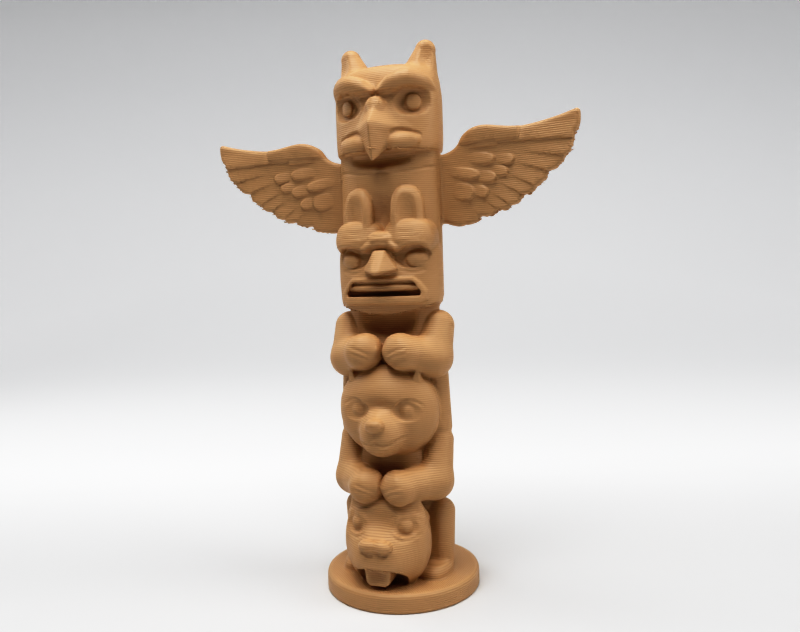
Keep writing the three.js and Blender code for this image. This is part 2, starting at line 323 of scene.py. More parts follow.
# The skull, the muzzle, the ears and the dip between them, and the nose.
wolf = Lump((0, -14, -0.5), (9.5, 0, 18))
wolf.add(egg((0, -6.1, 9.0), (6.6, 3.9, 7.3), (2.6, 2.2)))
wolf.add(egg((0, -8.1, 7.6), (4.8, 3.9, 3.9), (2.3, 2.3), (-10, 0, 0)), soft=1.4)
wolf.add(hull([
    (2.9, -8.3, 12.2), (6.4, -6.6, 12.0), (6.0, -3.6, 12.0), (2.4, -4.4, 12.0),
    (5.2, -7.3, 16.7),
], edge=0.6), soft=0.8)
wolf.cut(egg((4.9, -8.6, 14.4), (0.8, 0.6, 1.4), turn=(-14, 8, 20)), soft=0.7)
wolf.cut(egg((0, -10.9, 13.2), (2.6, 1.9, 1.7)), soft=1.2)
wolf.add(egg((1.25, -11.7, 9.8), (1.35, 0.95, 0.8), turn=(0, 8, 12)), soft=0.5)
wolf.add(egg((0, -11.6, 9.8), (1.0, 0.8, 0.65)), soft=0.3)

# The eyes with their brows and bags, and the nostrils.
carve_eye(
    wolf, at=(4.1, 12.0), facing=27, hollow=(2.2, 1.45), ball=1.15,
    depth=0.75, bulge=0.75, crisp=0.3,
)
score(wolf, [(2.0, 12.4), (3.0, 13.4), (4.5, 13.6), (6.0, 12.9)], 0.3, -0.25)
score(wolf, [(2.2, 11.0), (3.4, 10.3), (4.8, 10.3), (6.0, 11.0)], 0.22, 0.25)
score(wolf, [(0.5, 8.6), (1.0, 8.2), (1.6, 8.6)], 0.22, 0.25)

# The mouth, and the tongue: a plate that is hollowed in front and cut off aslant below.
wolf.cut(egg((0, -12.4, 3.3), (4.3, 6.4, 3.0), (2.8, 2.6)), soft=0.25)
TONGUE = [
    (0, 3.4), (1.2, 3.45), (1.8, 4.0), (2.2, 6.6),
    (-2.2, 6.6), (-1.8, 4.0), (-1.2, 3.45),
]
tongue = Lump((0, -12.5, 2), (4, -4, 8))
tongue.add(slab(TONGUE, -11.1, -5.0, edge=0.4))
tongue.cut(egg((0, -12.2, 5.7), (1.6, 1.5, 2.2)), soft=0.6)
tongue.cut(hull([
    (-4, -12, 1), (4, -12, 1), (-4, -4, 1), (4, -4, 1),
    (-4, -4, 4.6), (4, -4, 4.6), (-4, -12, 3.2), (4, -12, 3.2),
], edge=0.2), soft=0.4)
wolf.merge(tongue, soft=0.2)
pole.merge(wolf)


# ---- The bear's legs and arms -----------------------------------------------------------
# The bear squats behind the wolf: straight legs with small feet, and arms that bend at
# the elbow and lay both fists on the wolf's head.

def lay_arm(lump, shoulder, elbow, wrist):
    """An arm on the +X side, of (x, y, z, radius) joints. Its fist is a rounded mitt with
    a thumb along its top and shallow grooves between the fingers."""
    for (*start, start_radius), (*end, end_radius) in ((shoulder, elbow), (elbow, wrist)):
        lump.add(limb(start, end, start_radius, end_radius), soft=0.8)
    x, y, z, radius = wrist
    fist = (x - 0.15 * radius, y - 0.2 * radius, z)
    half = (1.12 * radius, 0.85 * radius, 0.98 * radius)
    lump.add(egg(fist, half, (2.1, 2.3), (0, 24, -24)), soft=0.8)
    thumb_root = (x, y - 0.6 * radius, z + 0.52 * radius)
    thumb_tip = (x - 0.85 * radius, y - 0.5 * radius, z + 0.05 * radius)
    lump.add(limb(thumb_root, thumb_tip, 0.32 * radius, 0.28 * radius), soft=0.4)
    for row in (-0.6, -0.22, 0.12):
        groove = [(-0.8, row - 0.3), (-0.2, row), (0.45, row + 0.2)]
        score(lump, [(x + a * radius, z + b * radius) for a, b in groove], 0.2, 0.2, fade=3)


# The belly, a leg and its foot, and the arms.
pole.add(egg((0, -3.4, 19.8), (5.2, 2.0, 4.8)), soft=0.8)
pole.add(limb((7.0, -0.8, 12.2), (6.9, -0.7, 4.2), 2.0, 1.7), soft=0.9)
pole.add(egg((6.3, -2.7, 3.0), (2.3, 2.9, 2.0), (2.6, 3.0), (6, 0, -14)), soft=0.5)
bear_arms = Lump((0, -12, 10), (11, 3, 28))
lay_arm(bear_arms, (7.1, -1.2, 23.3, 2.1), (6.6, -3.0, 17.5, 2.8), (2.7, -7.6, 17.4, 2.35))
pole.merge(bear_arms, soft=0.3)


# ---- The bear ---------------------------------------------------------------------------
# A round head with a blunt muzzle, a wide nose, a wavy mouth and two small ears that the
# beast's fists rest between.

# The head and its forehead, the furrow under it, the muzzle, its bridge, the nose, an ear.
bear = Lump((0, -13, 19), (10, 2, 38))
bear.add(egg((0, -3.9, 28.4), (7.9, 4.1, 7.3), (2.1, 2.1)))
bear.add(egg((0, -4.6, 30.5), (5.8, 3.8, 4.5)), soft=0.8)
bear.cut(egg((0, -10.2, 29.5), (3.4, 2.2, 1.1)), soft=1.0)
bear.add(egg((0, -6.9, 25.3), (3.5, 3.6, 3.6), (2.0, 2.1)), soft=0.9)
bear.add(limb((0, -6.4, 28.0), (0, -9.2, 26.9), 1.2, 1.2), soft=0.8)
bear.add(egg((0, -10.4, 27.0), (1.4, 0.9, 0.9), (2.3, 2.2), (8, 0, 0)), soft=0.4)
bear.add(hull([
    (4.5, -6.4, 33.2), (5.9, -5.9, 32.6), (5.9, -4.9, 32.8), (4.6, -5.0, 33.4),
    (5.5, -5.9, 35.7),
], edge=0.3), soft=0.4)

# The eyes, the lines above and below them, the mouth, the lip and the chin.
carve_eye(
    bear, at=(4.0, 28.7), facing=12, hollow=(2.1, 1.4), ball=1.3,
    depth=0.6, bulge=0.5, crisp=0.5,
)
score(bear, [(2.4, 29.3), (3.4, 30.15), (4.9, 30.2), (6.3, 29.4)], 0.2, 0.3)
score(bear, [(2.6, 27.9), (4.2, 27.3), (6.0, 27.9)], 0.22, 0.08)
MOUTH_LINE = [(-0.7, 24.3), (0, 24.5), (0.6, 24.05), (1.5, 24.0), (2.4, 24.35), (3.7, 24.9)]
score(bear, MOUTH_LINE, 0.18, 0.6)
score(bear, [(-1, 23.5), (0, 23.4), (1.8, 23.5)], 0.4, -0.25)
score(bear, [(-1, 22.7), (0, 22.65), (2.1, 22.9)], 0.2, 0.25)
pole.merge(bear, soft=0.3)


# ---- The beast's legs and arms ----------------------------------------------------------
# Thin legs behind the bear's head, and arms like the bear's, with the fists on its brow.

# The hollow between the arms, then a leg and the arms.
pole.cut(egg((0, -7.2, 42.2), (5.9, 5.3, 5.4), (2.4, 2.2)), soft=0.8)
pole.add(limb((6.8, -1.1, 34), (7.1, -1.1, 25.5), 1.8, 1.9))
beast_arms = Lump((0, -11, 29), (11, 3, 46))
lay_arm(beast_arms, (7.3, -0.9, 40.8, 2.4), (6.8, -2.7, 36.1, 2.9), (3.2, -5.7, 37.3, 2.55))
pole.merge(beast_arms, soft=0.3)


# ---- The beast --------------------------------------------------------------------------
# A drum-shaped mask with a flat chin, swollen brows, a pyramid nose, and a wide framed
# mouth with a bar of teeth across it. Long hollow ears stand against the eagle's breast.

# The ears, with the breast hollowed between them.
pole.cut(egg((0, -6.6, 57.0), (2.9, 3.5, 4.6)), soft=1.0)
ears = Lump((0, -7, 50), (8, -1, 63))
ears.add(egg((3.9, -4.0, 56.9), (2.6, 1.3, 4.9), (2.6, 2.8), (0, 0, 18)))
ears.cut(egg((4.2, -5.45, 57.2), (1.5, 0.95, 3.6), (2.4, 2.8), (4, 0, 18)), soft=0.4)
pole.merge(ears, soft=0.2)

# The drum and the jaw that stands forward of it, the curved chin, and the brows.
CHIN_HEIGHT = 42.8
CHIN_CURVE = 0.026
beast = Lump((0, -9.5, 41), (10, 5, 60))
beast.add(egg((0, -1.4, 49.6), (8.25, 4.0, 6.6), (2.3, 3.2)))
beast.add(egg((0, -1.2, 46.8), (8.15, 4.4, 5.0), (2.3, 3.6)), soft=0.3)
beast.cut(egg((0, -4.6, 57.0), (2.6, 3.6, 2.4)), soft=0.4)
beast.keep(lambda x, y, z: CHIN_HEIGHT + CHIN_CURVE * x * x - z, soft=0.15)
beast.add(egg((3.9, -2.5, 54.2), (4.0, 3.3, 3.0), (2.9, 2.7)), soft=0.3)
beast.add(egg((4.1, -2.9, 53.8), (3.5, 3.1, 1.5), (2.6, 2.2), (0, -3, 4)), soft=0.7)

# The eye sockets, cut back to an even depth below the drum's face, and the eyeballs.
EYE_SOCKET = [
    (1.7, 52.0), (2.6, 52.15), (3.6, 52.6), (4.7, 52.9), (6.2, 52.9), (6.9, 52.4), (7.1, 51.6),
    (6.6, 50.6), (5.8, 49.9), (4.8, 49.7), (3.3, 49.9), (2.1, 50.8),
]
eye_sockets = Lump((0, -9, 48), (9.5, 0, 55))
eye_sockets.add(slab(EYE_SOCKET, -9, -1, edge=0.1))
eye_sockets.cut(egg((0, -1.4, 49.6), (8.4, 3.35, 6.6), (2.3, 3.2)), soft=0.3)
beast.carve(eye_sockets, soft=0.4)
beast.add(egg((5.15, -3.95, 51.0), (1.7, 1.25, 1.3), turn=(0, 0, 20)), soft=0.2)

# The knot between the brows and the folds below it, then the creases of the brows and the
# bags under the eyes.
beast.add(egg((0, -4.7, 53.8), (2.5, 1.6, 1.45), (2.4, 2.2)), soft=0.2)
beast.add(egg((2.1, -5.4, 52.9), (1.2, 0.8, 0.6), turn=(0, 28, 12)), soft=0.3)
score(beast, [(2.4, 52.5), (3.6, 53.0), (4.8, 53.3), (6.2, 53.35), (7.4, 53.0)], 0.25, -0.2)
score(beast, [(2.6, 54.0), (3.7, 54.35), (5.2, 54.2), (6.4, 54.5)], 0.16, 0.07, fade=3)
score(beast, [(2.8, 55.3), (4.0, 54.9), (5.2, 55.3)], 0.18, 0.05, fade=3)
score(beast, [(-1, 54.5), (0, 54.35), (1.4, 54.6)], 0.16, 0.14)
score(beast, [(-1, 53.5), (0, 53.6), (1.2, 53.4)], 0.16, 0.18)
score(beast, [(3.2, 49.3), (4.8, 49.0), (6.6, 49.5)], 0.25, 0.18)

# The nose.
beast.add(hull([
    (0.9, -6.4, 52.3), (-0.9, -6.4, 52.3), (0.9, -4.0, 52.6), (-0.9, -4.0, 52.6),
    (2.75, -5.9, 49.4), (-2.75, -5.9, 49.4), (2.6, -3.5, 49.4), (-2.6, -3.5, 49.4),
    (0.5, -8.5, 49.0), (-0.5, -8.5, 49.0), (0, -8.2, 48.5),
], edge=0.2), soft=0.15)

# The lips' frame and the mouth through it, with the bar of teeth and the gum above it.
lips = Lump((0, -8, 42), (9.5, 0, 50))
LIP_FRAME = [
    (4.9, 48.3), (5.9, 47.5), (6.8, 46.2), (6.8, 44.9), (6.0, 44.3),
    (-6.0, 44.3), (-6.8, 44.9), (-6.8, 46.2), (-5.9, 47.5), (-4.9, 48.3),
]
lips.add(slab(LIP_FRAME, -7.6, -1.6, edge=0.4))
lip_face, *_ = egg((0, -1.3, 46.3), (9.0, 4.75, 6), (2.2, 5))
lips.keep(lip_face, soft=0.35)
beast.merge(lips, soft=0.2)
MOUTH = [
    (4.6, 47.7), (5.2, 47.25), (5.9, 46.0), (5.7, 45.5),
    (-5.7, 45.5), (-5.9, 46.0), (-5.2, 47.25), (-4.6, 47.7),
]
mouth = Lump((0, -8, 44), (8, -2, 49))
mouth.add(slab(MOUTH, -9, -3.6, edge=0.25))
teeth = Lump((0, -8, 44), (8, -2, 49))
teeth.add(egg((0, -1.3, 46.8), (7.6, 4.62, 0.62), (2.2, 4)), soft=0)
teeth.add(egg((0, -1.3, 47.6), (7.3, 4.1, 0.6), (2.2, 4)), soft=0.1)
beast.carve(mouth, soft=0.2)
beast.merge(teeth, soft=0.1)
pole.merge(beast, soft=0.15)


# ---- The eagle --------------------------------------------------------------------------
# The top figure: a drum-shaped head with heavy brows that run into a hooked beak, round
# eyes in deep sockets, and two horn-like ears with hollow fronts.

# The neck, the head with its flat jaw, and the dips that the eyes lie in.
pole.cut(egg((0, -6.4, 66.2), (7.3, 3.6, 1.8)), soft=0.5)
eagle = Lump((0, -12.5, 63), (10, 7, 85))
eagle.add(egg((0, -0.1, 71.9), (8.4, 5.4, 8.3), (2.3, 4.2)))
eagle.keep(lambda x, y, z: 67.1 - z, soft=0.3)
eagle.cut(egg((5.2, -6.2, 74.0), (3.3, 1.9, 2.3), turn=(0, 0, 30)), soft=0.4)

# The brows, of (x, y, z, radius) points that bend round the head, with a cleft between.
BROW = [
    (1.0, -5.3, 75.9, 1.0), (2.8, -5.5, 76.7, 1.25), (4.8, -4.9, 77.2, 1.35),
    (6.4, -3.4, 76.9, 1.15), (7.2, -1.8, 76.1, 0.85), (7.5, -0.3, 75.0, 0.5),
]
for (*start, start_radius), (*end, end_radius) in itertools.pairwise(bend_through(BROW, steps=3)):
    eagle.add(limb(start, end, start_radius, end_radius), soft=0.2)
eagle.cut(egg((0, -6.6, 77.6), (1.4, 1.2, 1.7)), soft=0.6)

# The eyes, each with a flat disc for its pupil, and the fold above them.
carve_eye(
    eagle, at=(5.3, 73.9), facing=24, hollow=(2.9, 1.95), ball=1.8,
    depth=0.75, bulge=0.5, tilt=8, crisp=0.5,
)
pupil_at = (5.3, front_at(eagle, 5.3, 74.0), 74.0)
eagle.add(egg(pupil_at, (1.15, 0.3, 1.15), (2, 2.4), (0, 0, 28)), soft=0.12)
score(eagle, [(2.7, 74.9), (4.0, 75.6), (5.6, 75.9), (7.4, 75.1)], 0.2, 0.3)

# The beak, its flare into the cheeks, its root between the brows, and the lip beside it.
eagle.add(hull([
    (0.6, -5.6, 74.6), (-0.6, -5.6, 74.6), (0, -3, 74.8), (3.2, -5.2, 70.2), (-3.2, -5.2, 70.2),
    (3.4, -3, 69.6), (-3.4, -3, 69.6), (0, -9.2, 70.6), (0, -9.0, 69.6),
    (2.2, -5.6, 68.9), (-2.2, -5.6, 68.9), (0, -7.9, 64.9),
], edge=0.3), soft=0.5)
eagle.add(hull([
    (0.5, -5.6, 74.2), (-0.5, -5.6, 74.2), (0, -3, 74.4), (4.9, -4.6, 69.9), (-4.9, -4.6, 69.9),
    (4.6, -2.5, 69.4), (-4.6, -2.5, 69.4), (0, -7.6, 70.2), (0, -7.0, 68.8),
    (3.0, -4.6, 68.4), (-3.0, -4.6, 68.4),
], edge=0.4), soft=0.9)
eagle.add(egg((0, -5.8, 73.5), (1.5, 1.2, 1.4)), soft=0.5)
score(eagle, [(-1, 75.35), (0, 75.25), (1.2, 75.35), (2.4, 75.5)], 0.25, 0.45)
eagle.add(egg((3.9, -4.8, 68.2), (2.5, 1.3, 1.35), (2.3, 2.2), (0, -4, 22)), soft=0.35)
score(eagle, [(2.3, 69.3), (3.0, 69.75), (4.0, 69.75), (5.2, 69.5), (6.3, 69.2)], 0.2, 0.45)

# The horn-like ears, and the fold where the neck meets the breast.
horn = Lump((0, -4, 73), (10, 4, 85))
horn.add(limb((5.0, 0.2, 78.3), (6.1, 0.2, 82.35), 3.0, 1.58))
horn.cut(egg((7.2, -2.1, 81.3), (1.4, 1.3, 2.3), turn=(0, 4, 40)), soft=0.6)
eagle.merge(horn, soft=0.7)
pole.merge(eagle, soft=0.3)
score(pole, [(-1, 63.9), (0, 63.95), (3, 64.0), (6, 64.4), (7.6, 64.6)], 0.2, 0.3, fade=9)


# ---- The wings --------------------------------------------------------------------------
# Two thin sheets spread from the eagle's shoulders, swept a little forward. Their front
# is laid with short feathers near the shoulder and long ones that make the ragged edge.

WING_TIP = SPAN_MM / 2
WING_THICKNESS = 1.5
WING_TOP = [
    (6, 66.2), (9, 66.7), (10.6, 67.5), (12, 69.2),
    (14.8, 70.1), (20, 69.4), (25, 70.0), (28.6, 70.9),
]
NOTCHES = [
    (28.2, 67.6), (26.9, 64.6), (24.4, 62.7), (22.6, 60.7), (20.6, 59.7),
    (18.8, 58.3), (16.9, 57.8), (14.1, 57.0), (11.6, 55.9), (8.6, 56.2),
]
BOW_STEPS = 4           # straight steps in the bowed end of a feather
LONG_LIFT = 0.32        # how far the long feathers stand proud
SHORT_LIFT = 0.62       # and the short ones
LAYER_MM = 0.3
SMOOTH_ABOVE = 66       # the height above which the wing's edge isn't ragged

# Each short feather's middle, its half length and half width, and how it leans down, in
# degrees.
SHORT_FEATHERS = [
    ((14.6, 65.3), (2.2, 0.9), 5),
    ((18.2, 64.9), (1.5, 0.8), 7),
    ((11.8, 63.4), (2.6, 0.9), 10),
    ((15.3, 62.6), (1.6, 0.9), 10),
    ((17.4, 63.3), (1.3, 0.75), 6),
    ((11.6, 60.7), (1.9, 1.4), 9),
    ((14.2, 60.6), (1.4, 0.9), 13),
]


def sweep(x, z):
    """How far back the sheet's front face stands."""
    return -0.6 - 0.1 * (x - 9) + 0.1 * (67 - z)


def wing_outline():
    """The wing's outline: its top edge, then one bowed feather end between two notches."""
    points = [(6, 56.4)] + [tuple(point) for point in bend_through(WING_TOP, steps=5)]
    points += [(WING_TIP - 0.1, 70.6), (WING_TIP - 0.05, 70.1)]
    last = points[-1]
    for notch in NOTCHES:
        bow = ((last[0] + notch[0]) / 2 + 0.5, (last[1] + notch[1]) / 2 - 0.7)
        for step in range(1, BOW_STEPS + 1):
            share = step / BOW_STEPS
            a, b, c = (1 - share) ** 2, 2 * share * (1 - share), share ** 2
            points.append(tuple(a * last[i] + b * bow[i] + c * notch[i] for i in range(2)))
        last = notch
    return points


def feather_rise(x, z, centre, half, lean):
    """How far a short feather stands proud: it rises along its length to a round end."""
    angle = math.radians(lean)
    along = (x - centre[0]) * math.cos(angle) - (z - centre[1]) * math.sin(angle)
    beside = (x - centre[0]) * math.sin(angle) + (z - centre[1]) * math.cos(angle)
    edge = np.abs(along / half[0]) ** 2.4 + np.abs(beside / half[1]) ** 2.2
    inside = np.clip((1 - edge) / 0.35, 0, 1)
    to_its_end = np.clip(0.5 + 0.5 * along / half[0], 0, 1)
    to_its_lower_edge = np.clip(0.75 - 0.25 * beside / half[1], 0, 1)
    return SHORT_LIFT * inside * (to_its_end * to_its_lower_edge)


def band(x, z, lowest, inner, outer):
    """A level band along the wing's top: 1 above a height and between two X, 0 elsewhere."""
    above = np.clip((z - lowest) / 0.2, 0, 1)
    return above * np.clip((outer - x) / 0.4, 0, 1) * np.clip((x - inner) / 2, 0, 1)


def wing_relief(x, z):
    """The front's relief: long feathers that overlap like shingles, each rising to its
    lower edge, then the two bands along the top and the short feathers over their roots."""
    relief = np.zeros(np.broadcast(x, z).shape)
    lower_edges = [((14.0, 67.6), (29.6, 66.9))]
    for i, notch in enumerate(NOTCHES[1:-1]):
        share = (i + 1) / (len(NOTCHES) - 2)
        lower_edges.append(((20.5 - 10 * share, 67.0 - 9.0 * share), notch))
    below_last = None
    for (x0, z0), (x1, z1) in lower_edges:
        length = math.dist((x0, z0), (x1, z1))
        below = ((x - x0) * (z1 - z0) - (z - z0) * (x1 - x0)) / length
        along = ((x - x0) * (x1 - x0) + (z - z0) * (z1 - z0)) / length
        width = 2.2 if below_last is None else np.clip(below_last - below, 0.6, 3.0)
        above = np.where(below < 0, 1.0, 0.0)
        rise = np.clip(1 + below / width, 0, 1) * above * np.clip((along - 1.5) / 5, 0, 1)
        relief = np.maximum(relief, LONG_LIFT * rise)
        below_last = below
    relief = np.maximum(relief, 0.5 * band(x, z, 67.55, 11, 20.6))
    relief = np.maximum(relief, 0.3 * band(x, z, 66.85, 12, 17.2))
    for feather in SHORT_FEATHERS:
        relief = np.maximum(relief, feather_rise(x, z, *feather))
    return relief


def wing(x, y, z):
    """A wing as a form: its outline, a little ragged from layer to layer, and its faces."""
    layer = np.round(z / LAYER_MM)
    ragged = 0.18 * np.sin(layer * 12.9898) * np.sin(layer * 4.1414 + 2.0) * (z < SMOOTH_ABOVE)
    outline, *_ = slab(wing_outline(), -FAR, FAR, edge=0)
    edge = outline(x + ragged, np.zeros((1, 1, 1)), z)
    face = sweep(x, z) - wing_relief(x, z)
    thick = np.maximum(face - y, y - sweep(x, z) - WING_THICKNESS)
    return soft_max(edge + 0 * y, thick, 0.7)


pole.add((wing, (5, -5, 54), (WING_TIP + 0.2, 3, 72)), soft=0.5)


# ---- The skin ---------------------------------------------------------------------------
# The print's surface: the field is mirrored to both sides, turned into a closed mesh and
# thinned to a piece's share of triangles. Matte tan plastic in level layers.

TRIANGLES = 190_000
NEAR = 3 * CELL         # how far from the surface its distances are kept

both_sides = np.concatenate([pole.values[:0:-1], pole.values], axis=0)
grid = openvdb.FloatGrid(NEAR)
grid.copyFromArray(np.clip(both_sides, -NEAR, NEAR))
points, quads = grid.convertToQuads(0.0)
origin = CELL * np.array([1 - len(pole.values), pole.first[1], pole.first[2]])
points = np.clip((points * CELL + origin) * MM, np.array(low), np.array(high))
faces = np.vstack([quads[:, [0, 2, 1]], quads[:, [0, 3, 2]]])

skin_mesh = bpy.data.meshes.new("totem_pole_print")
skin_mesh.vertices.add(len(points))
skin_mesh.vertices.foreach_set("co", points.astype(np.float32).ravel())
skin_mesh.loops.add(faces.size)
skin_mesh.loops.foreach_set("vertex_index", faces.astype(np.int32).ravel())
skin_mesh.polygons.add(len(faces))
skin_mesh.polygons.foreach_set("loop_start", np.arange(0, faces.size, 3, dtype=np.int32))
skin_mesh.update(calc_edges=True)
skin_mesh.validate()
skin = bpy.data.objects.new("totem_pole_print", skin_mesh)
bpy.context.scene.collection.objects.link(skin)
if len(faces) > TRIANGLES:
    thin = skin.modifiers.new("thin", "DECIMATE")
    thin.ratio = TRIANGLES / len(faces)
    evaluated = skin.evaluated_get(bpy.context.evaluated_depsgraph_get())
    thinned = bpy.data.meshes.new_from_object(evaluated)
    skin.modifiers.clear()
    skin.data = thinned
    bpy.data.meshes.remove(skin_mesh)

# Thinning can move a point past the box, so all are held inside it once more.
points = np.empty(3 * len(skin.data.vertices), np.float32)
skin.data.vertices.foreach_get("co", points)
points = np.clip(points.reshape(-1, 3), np.array(low), np.array(high))
skin.data.vertices.foreach_set("co", points.astype(np.float32).ravel())
skin.data.name = "totem_pole_print"
skin.data.shade_smooth()


class Socket:
    """A node's socket that takes part in Python sums: each operator adds its Math node."""

    def __init__(self, tree, socket):
        self.tree, self.socket = tree, socket

    def node(self, kind, settings=None, **inputs):
        """Adds a node. Its settings are set first, then its sockets, by name or _index."""
        new = self.tree.nodes.new(kind)
        for name, value in (settings or {}).items():
            setattr(new, name, value)
        for name, value in inputs.items():
            where = int(name[1:]) if name[0] == "_" else name.replace("_", " ")
            if isinstance(value, Socket):
                self.tree.links.new(value.socket, new.inputs[where])
            else:
                new.inputs[where].default_value = value
        return new

    def out(self, kind, settings=None, output=0, **inputs):
        """Adds a node and gives one of its outputs."""
        return Socket(self.tree, self.node(kind, settings, **inputs).outputs[output])

    def math(self, operation, *values):
        sockets = {f"_{i}": value for i, value in enumerate(values)}
        return self.out("ShaderNodeMath", {"operation": operation}, **sockets)

    def __add__(self, other):
        return self.math("ADD", self, other)

    def __sub__(self, other):
        return self.math("SUBTRACT", self, other)

    def __rsub__(self, other):
        return self.math("SUBTRACT", other, self)

    def __mul__(self, other):
        return self.math("MULTIPLY", self, other)

    def __truediv__(self, other):
        return self.math("DIVIDE", self, other)

    def __pow__(self, other):
        return self.math("POWER", self, other)

    __radd__ = __add__
    __rmul__ = __mul__


def new_material(name):
    """An empty material: its tree as a start for Python sums, and its shader node."""
    material = bpy.data.materials.new(name)
    material.use_nodes = True
    tree = material.node_tree
    tree.nodes.clear()
    output = tree.nodes.new("ShaderNodeOutputMaterial")
    shader = tree.nodes.new("ShaderNodeBsdfPrincipled")
    tree.links.new(shader.outputs[0], output.inputs["Surface"])
    return material, Socket(tree, None), shader


OBJECT_COORDINATES = 3
# The dark tan is painted into the grooves between beads as painted shade, and the pale tan along
# their middles as painted light; together they also make the tan uneven at random.
DARK_TAN_AND_GROOVE_SHADE = (0.45, 0.265, 0.13, 1.0)
PALE_TAN_AND_BEAD_LIGHT = (0.61, 0.395, 0.215, 1.0)
LAYER = LAYER_MM * MM
TOP_LINE = 1.5 * LAYER
BASE_TOP = BASE_HEIGHT * MM

# Each layer is a round bead that wanders a little. A bead is 1 along its middle and 0 in
# the groove to the next, and so are the slanting lines of the base's top layer.
plastic, start, shader = new_material("tan_printed_plastic")
place = start.out("ShaderNodeTexCoord", output=OBJECT_COORDINATES)
x, y, z = (start.out("ShaderNodeSeparateXYZ", output=i, _0=place) for i in range(3))
wander = start.out("ShaderNodeTexNoise", Vector=place, Scale=180.0, Detail=2.0)
level_bead = 1 - (2 * start.math("FRACT", z / LAYER + 0.12 * wander) - 1) ** 2
slanting_bead = 1 - (2 * start.math("FRACT", (x + y) / TOP_LINE) - 1) ** 2
off_base = start.math("ABSOLUTE", z - BASE_TOP)
on_base = start.math("LESS_THAN", off_base, 0.1 * MM)
bead = on_base * slanting_bead + (1 - on_base) * level_bead

# The beads show clearly in some places and are smeared in others. Where they show, the tan
# is painted darker in the grooves between beads, as painted shade, and paler along the beads'
# middles, as painted light. The tan is also uneven, and fine streaks run along the layers.
clear = start.out("ShaderNodeTexNoise", Vector=place, Scale=140.0, Detail=1.0)
patch = start.out("ShaderNodeTexNoise", Vector=place, Scale=60.0, Detail=4.0)
streaks = start.out(
    "ShaderNodeVectorMath", {"operation": "MULTIPLY"}, _0=place, _1=(500.0, 500.0, 2600.0),
)
grain = start.out("ShaderNodeTexNoise", Vector=streaks, Scale=1.0, Detail=3.0)
# Painted shade in each groove and painted light along each bead's middle, plus random patches.
tone = start.out(
    "ShaderNodeMix", {"data_type": "RGBA"}, output=2,
    _0=0.35 + 0.9 * clear * (bead - 0.4) + 0.35 * patch, _6=DARK_TAN_AND_GROOVE_SHADE, _7=PALE_TAN_AND_BEAD_LIGHT,
)
bump = start.node(
    "ShaderNodeBump", Strength=0.4, Distance=0.0001,
    Height=1.8 * clear * bead + 1.2 * grain,
)
start.tree.links.new(tone.socket, shader.inputs["Base Color"])
start.tree.links.new(bump.outputs[0], shader.inputs["Normal"])
shader.inputs["Roughness"].default_value = 0.48
skin.data.materials.clear()
skin.data.materials.append(plastic)
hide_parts("totem_pole")
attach(skin, "root")


# ---- The loose strands ------------------------------------------------------------------
# Where the printer laid plastic over air, the lowest bead sags in short loops: along the
# beast's chin, the eagle's jaw, the wolf's lip and the wings' lower edge.

BEAD_RADIUS = 0.08
SPACING = 0.75
SAG = 0.12
HEM_POINTS = 41

# How far a hem reaches to each side, its height in the middle, and how it bows upwards.
CHIN_HEM = (7.2, CHIN_HEIGHT + 0.15, CHIN_CURVE)
JAW_HEM = (6.6, 67.2, 0)
LIP_HEM = (3.6, 6.45, -0.03)

hems = []
for reach, middle, bow in (CHIN_HEM, JAW_HEM, LIP_HEM):
    across = [(x, middle + bow * x * x) for x in np.linspace(-reach, reach, HEM_POINTS)]
    hem = [(x, front_at(pole, x, z), z) for x, z in across]
    hems.append([(x, y + 0.1, z - BEAD_RADIUS) for x, y, z in hem if y is not None])
feather_ends = wing_outline()[-BOW_STEPS * len(NOTCHES) + 2:-BOW_STEPS]
for side in (-1, 1):
    hems.append([(side * (x - 0.1), sweep(x, z) + 0.5, z + 0.1) for x, z in feather_ends])

corners = [tuple(MM * value for value in point) for hem in hems for point in hem]
links = []
count = 0
for hem in hems:
    links += [(count + i, count + i + 1) for i in range(len(hem) - 1)]
    count += len(hem)
strands_mesh = bpy.data.meshes.new("loose_strands")
strands_mesh.from_pydata(corners, links, [])
strands = bpy.data.objects.new("loose_strands", strands_mesh)
bpy.context.scene.collection.objects.link(strands)

# Small arcs of bead are set along each hem, turned and stretched at random.
LOOP_SIZES = {
    "Spacing": SPACING * MM,
    "Span": SPACING * MM,
    "Sag": SAG * MM,
    "Bead Radius": BEAD_RADIUS * MM,
    "Seed": 7,
}
loops = bpy.data.node_groups.new("sagging_loops", "GeometryNodeTree")
loops.interface.new_socket("Geometry", in_out="INPUT", socket_type="NodeSocketGeometry")
identifiers = {}
for name, value in LOOP_SIZES.items():
    kind = "NodeSocketInt" if isinstance(value, int) else "NodeSocketFloat"
    size_input = loops.interface.new_socket(name, in_out="INPUT", socket_type=kind)
    identifiers[name] = size_input.identifier
loops.interface.new_socket("Geometry", in_out="OUTPUT", socket_type="NodeSocketGeometry")
begin = Socket(loops, None)
given = begin.node("NodeGroupInput")
hem_line, spacing, span, sag, radius, seed = (Socket(loops, given.outputs[i]) for i in range(6))
dots = begin.node(
    "GeometryNodeCurveToPoints", {"mode": "LENGTH"},
    Curve=begin.out("GeometryNodeMeshToCurve", _0=hem_line), Length=spacing,
)
half = span / 2
loop = begin.out(
    "GeometryNodeCurveQuadraticBezier", Resolution=6,
    Start=begin.out("ShaderNodeCombineXYZ", _0=-1 * half),
    Middle=begin.out("ShaderNodeCombineXYZ", _2=-2 * sag),
    End=begin.out("ShaderNodeCombineXYZ", _0=half),
)
bead_ring = begin.out("GeometryNodeCurvePrimitiveCircle", Resolution=6, Radius=radius)
bead_loop = begin.out("GeometryNodeCurveToMesh", _0=loop, Profile_Curve=bead_ring, Fill_Caps=True)
along = begin.out(
    "FunctionNodeAlignRotationToVector", {"axis": "X", "pivot_axis": "Z"},
    Vector=Socket(loops, dots.outputs["Tangent"]),
)
